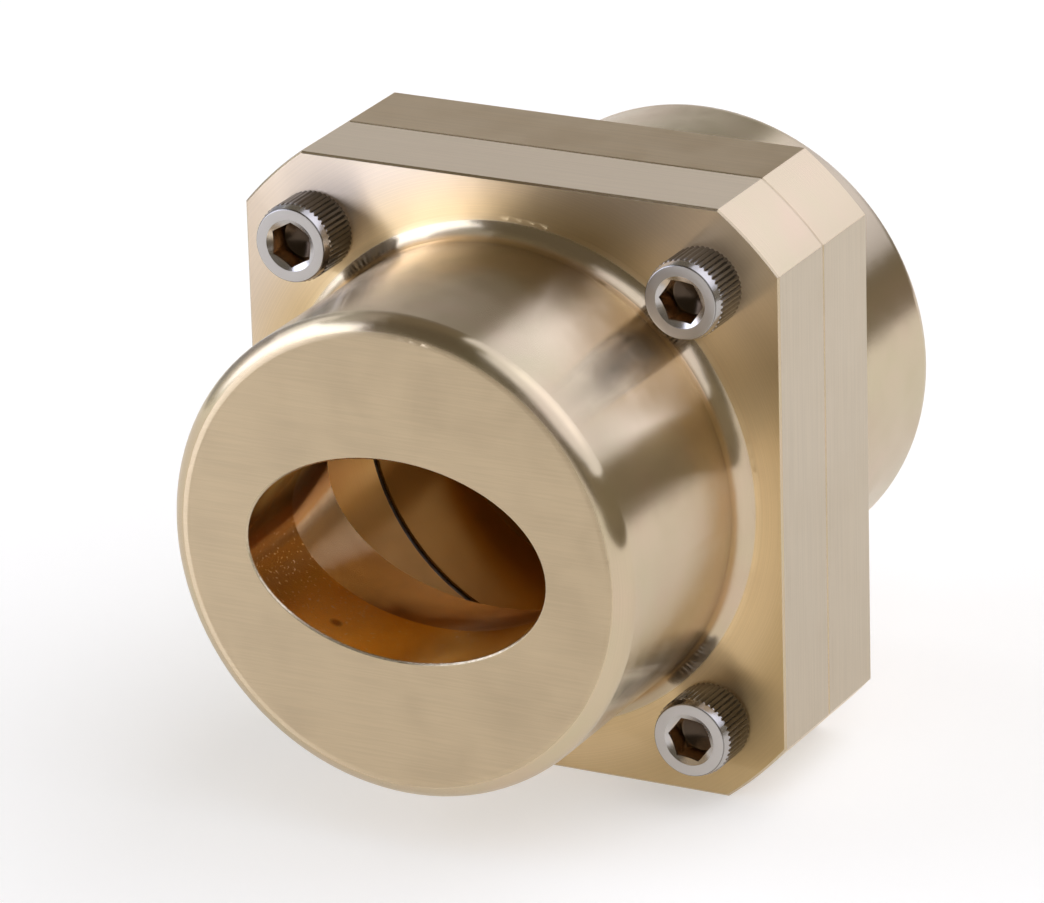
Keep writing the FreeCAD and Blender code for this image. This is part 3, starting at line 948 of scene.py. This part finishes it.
def make_steel():
    w = Wiring("screw_steel_grey")
    at = ScrewPlace(w)
    patches = w.noise(at.place, PATCH_STRETCH, PATCH_DETAIL)
    # Patchy painted shade in the knurl's grooves.
    patchy_shade = w.both(at.groove_shade, w.fade(patches, *GROOVE_SHADE_PATCHES, *GROOVE_SHADE_STRENGTH))
    colour = w.mix(at.side, STEEL, STEEL_SHOULDER)
    for mask, shade in (
        (at.knurled, STEEL_KNURL),
        (patchy_shade, STEEL_PAINTED_SHADE),
        # Painted shade line under the top edge.
        (w.both(at.top_edge_shade, EDGE_SHADE_SHARE), STEEL_PAINTED_SHADE),
        (at.walls, STEEL_SOCKET),
        # Painted shade on the socket's floor.
        (at.floor, STEEL_SOCKET_FLOOR_SHADE),
    ):
        colour = w.mix(mask, colour, shade)
    even = w.fade(at.on_top, 0.0, 1.0, ROUGH_STEEL, ROUGH_STEEL_TOP)
    rough = w.maths("ADD", even, w.fade(patches, *POLISH_PATCHES, *POLISH_CHANGE))
    facing = w.bump(w.lines(at.radius, FACING_LINES_PER_MM), FACING_DEPTH)
    w.metal(colour, rough, facing)
    return w.material


steel = make_steel()
screw_mesh.materials.append(steel)
print("steel nodes:", len(steel.node_tree.nodes))

# %% [markdown]
# ## Set the screws
#
# All four screws share one mesh. Each stands on the front flange with its head towards the front, so
# its own upward axis is tipped to point forwards, and first it is turned about that axis by the angle
# at which the mechanic left it.

# %% Set the screws
SCREW_TURNS = {
    "screw_top_left": 29.4,
    "screw_top_right": 55.5,
    "screw_bottom_left": 12.0,
    "screw_bottom_right": 52.0,
}
tip_forwards = Matrix.Rotation(math.radians(90), 4, "X")
for name, turn in SCREW_TURNS.items():
    low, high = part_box(name)
    seat = Vector(((low.x + high.x) / 2, -flange_face, (low.z + high.z) / 2))
    screw = add_object(f"cap_{name}", screw_mesh)
    screw.matrix_world = (
        Matrix.Translation(seat) @ tip_forwards @ Matrix.Rotation(math.radians(turn), 4, "Z")
    )
    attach(screw, "root")
    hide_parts(name)
    print(name, "stands at", [round(value / MM, 2) for value in seat], "mm")

# %% [markdown]
# ## Floor
#
# The picture was taken on a white ground. A wide matt sheet lies just under the splice and keeps its
# soft shadow, and its white also lights the metal from below, which is what most of the brass shows.
# Where a ray from the camera or a reflection meets the sheet, it is dimmer and glows a little instead,
# so that the ground looks white and even while the shadow stays soft.

# %% Lay the floor
FLOOR_REACH = 4.0
FLOOR_WHITE = 0.93
FLOOR_SHADED = 0.70
FLOOR_GLOW = 0.41
FLOOR_TINT = (1.03, 1.0, 0.92)


def make_paper():
    w = Wiring("white_paper")
    rays = w.node("ShaderNodeLightPath")
    seen = w.maths("MAXIMUM", rays.outputs["Is Camera Ray"], rays.outputs["Is Glossy Ray"])
    seen = w.maths("MAXIMUM", seen, rays.outputs["Is Transmission Ray"])
    diffuse = w.node("ShaderNodeBsdfDiffuse")
    shaded = rgb(*[FLOOR_SHADED * share for share in FLOOR_TINT])
    w.plug(w.mix(seen, grey(FLOOR_WHITE), shaded), diffuse.inputs["Color"])
    shine = w.node("ShaderNodeEmission")
    w.plug(w.maths("MULTIPLY", seen, FLOOR_GLOW), shine.inputs["Strength"])
    joined = w.node("ShaderNodeAddShader")
    w.plug(diffuse.outputs[0], joined.inputs[0])
    w.plug(shine.outputs[0], joined.inputs[1])
    w.plug(joined.outputs[0], w.output.inputs["Surface"])
    w.material.cycles.emission_sampling = "NONE"
    return w.material


mesh = bmesh.new()
bmesh.ops.create_grid(mesh, x_segments=1, y_segments=1, size=FLOOR_REACH)
sheet = finish_mesh(mesh, "floor")
sheet.materials.append(make_paper())
floor = add_object("floor", sheet)
floor.location.z = floor_level
print(f"floor at {floor_level / MM:.1f} mm")

# %% [markdown]
# ## Studio
#
# Polished metal shows the room, so the room is built as carefully as the part. Each softbox and each
# card is a patch of a large dome round the splice, given by compass directions and heights in degrees:
# direction 0 is straight behind, 90 is to the right and 180 is the front. Softboxes glow and cards glow
# less, as grey or warm boards that reflect a bright room do. The camera doesn't see them, only the
# floor and the white room behind.

# %% Patches of the dome
DOME_RADIUS = 1.6
CARD_RADIUS = 1.7
TABLE_RADIUS = 0.5
PATCH_COLUMNS = 12
PATCH_ROWS = 10
CARD_EDGE = 0.01


def dome_point(azimuth, elevation, radius):
    azimuth, elevation = math.radians(azimuth), math.radians(elevation)
    level = math.cos(elevation)
    return radius * Vector((math.sin(azimuth) * level, math.cos(azimuth) * level, math.sin(elevation)))


def between(first, second, share):
    return tuple(a + (b - a) * share for a, b in zip(first, second))


def divide(corners, steps):
    line = []
    for first, second in zip(corners, corners[1:]):
        line += [between(first, second, step / steps) for step in range(steps)]
    return line + [corners[-1]]


def patch_mesh(name, lower, upper, radius):
    mesh = bmesh.new()
    lower, upper = divide(lower, PATCH_COLUMNS), divide(upper, PATCH_COLUMNS)
    columns = len(lower) - 1
    grid = []
    for j in range(PATCH_ROWS + 1):
        places = [between(low, high, j / PATCH_ROWS) for low, high in zip(lower, upper)]
        grid.append([mesh.verts.new(dome_point(*place, radius)) for place in places])
    layer = mesh.loops.layers.uv.new("patch")
    for j in range(PATCH_ROWS):
        for i in range(columns):
            corners = ((i, j), (i + 1, j), (i + 1, j + 1), (i, j + 1))
            face = mesh.faces.new([grid[v][u] for u, v in corners])
            for loop, (u, v) in zip(face.loops, corners):
                loop[layer].uv = (u / columns, v / PATCH_ROWS)
    return finish_mesh(mesh, name)


print(f"dome of {DOME_RADIUS} m round the splice")

# %% [markdown]
# A real softbox is brightest in its middle and fades towards its rim, and a polished barrel shows that
# fade. So a patch's glow falls off over a share of its width and height at every edge, from its full
# strength to the strength of its rim.

# %% Make softboxes and cards
COLD = rgb(0.90, 0.97, 1.2)
COOL = rgb(0.94, 0.97, 1.12)
NEUTRAL = grey(1.0)
WARM = rgb(1.15, 1.0, 0.75)


def glow(name, colour, strength, edge, rim):
    w = Wiring(name)
    place = w.split(w.node("ShaderNodeTexCoord").outputs["UV"])
    fades = []
    for along in place[:2]:
        from_middle = w.maths("ABSOLUTE", w.maths("SUBTRACT", along, 0.5))
        fades.append(w.fade_out(from_middle, 0.5 - edge, 0.5))
    light = w.node("ShaderNodeEmission")
    light.inputs["Color"].default_value = colour
    w.plug(w.fade(w.both(*fades), 0.0, 1.0, rim, strength), light.inputs["Strength"])
    w.plug(light.outputs[0], w.output.inputs["Surface"])
    return w.material


def dome_patch(name, lower, upper, colour, strength, edge, rim, radius):
    data = patch_mesh(name, lower, upper, radius)
    data.materials.append(glow(name, colour, strength, edge, rim))
    patch = add_object(name, data)
    patch.visible_camera = False
    patch.visible_shadow = False
    return patch


def softbox(name, lower, upper, strength, edge, rim=0.0, colour=COOL):
    return dome_patch(f"softbox_{name}", lower, upper, colour, strength, edge, rim, DOME_RADIUS)


def card(name, azimuths, elevations, colour, strength, radius=CARD_RADIUS):
    lower, upper = [[(azimuth, elevation) for azimuth in azimuths] for elevation in elevations]
    return dome_patch(f"card_{name}", lower, upper, colour, strength, CARD_EDGE, strength, radius)


print("light from cold to warm:", COLD[:3], COOL[:3], NEUTRAL[:3], WARM[:3])

# %% [markdown]
# A softbox is given by the corners of its lower and its upper edge, and a card by its range of
# directions and its range of heights. The large softbox stands behind at the right and lights the
# barrel's upper right, and the one at the front left lights the faces that look forwards. The cards
# shade the rest in steps. The last card stands close by, as the end of the table would.

# %% Set up the studio
patches = [
    softbox("right", ((-4, 8), (30, 12), (62, 19), (90, 22), (118, 22)),
            ((-4, 80), (30, 80), (62, 80), (90, 80), (118, 80)), strength=1.97, edge=0.4, rim=1.32),
    softbox("right_end", ((117, 22), (154, 22)), ((117, 78), (164, 76)), strength=1.4, edge=0.08),
    softbox("front_left", ((-153, -1), (-110, -1)), ((-141, 38), (-92, 40)), strength=2.9, edge=0.05,
            colour=COLD),
    softbox("left_top", ((-94, 22), (-80, 22)), ((-88, 46), (-56, 46)), strength=1.6, edge=0.1),
    card("left", (-115, -85), (-1, 30), NEUTRAL, 0.7),
    card("left_low", (-85, -45), (-1, 30), COOL, 0.38),
    card("back_low", (-45, 0), (-1, 15), NEUTRAL, 0.95),
    card("back_middle", (-45, 0), (15, 26), NEUTRAL, 0.72),
    card("back_high", (-45, 0), (26, 36), NEUTRAL, 0.42),
    card("right", (0, 150), (-1, 30), WARM, 0.25),
    card("upper_left", (-120, -50), (30, 60), NEUTRAL, 0.5),
    card("upper_back", (-50, 8), (36, 90), WARM, 0.2),
    card("upper_right", (8, 150), (30, 90), WARM, 0.25),
    card("top_left", (-120, -50), (60, 90), WARM, 0.2),
    card("front", (150, 240), (-1, 90), WARM, 0.14),
]
table_end = card("table_end", (-2, 150), (-4.6, 3), WARM, 0.22, TABLE_RADIUS)
table_end.visible_diffuse = False
print("patches on the dome:", len(patches), "and one by the table")

# %% [markdown]
# ## Room
#
# Beyond the dome the room is plain white for the camera and for mirror-like reflections. For ordinary
# shading it is dimmer, so that the lamps' shadows keep their shape and white paper stays just white.

# %% Light the room
ROOM_FILL = 0.35


def light_room():
    world = bpy.data.worlds.new("white_room")
    bpy.context.scene.world = world
    world.use_nodes = True
    tree = world.node_tree
    rays = tree.nodes.new("ShaderNodeLightPath")
    seen = rays.outputs["Is Camera Ray"]
    for kind in ("Is Glossy Ray", "Is Transmission Ray"):
        either = tree.nodes.new("ShaderNodeMath")
        either.operation = "MAXIMUM"
        tree.links.new(seen, either.inputs[0])
        tree.links.new(rays.outputs[kind], either.inputs[1])
        seen = either.outputs[0]
    strength = tree.nodes.new("ShaderNodeMapRange")
    strength.inputs["To Min"].default_value = ROOM_FILL
    tree.links.new(seen, strength.inputs["Value"])
    background = tree.nodes["Background"]
    background.inputs["Color"].default_value = grey(1.0)
    tree.links.new(strength.outputs["Result"], background.inputs["Strength"])


light_room()
print("room fill:", ROOM_FILL)
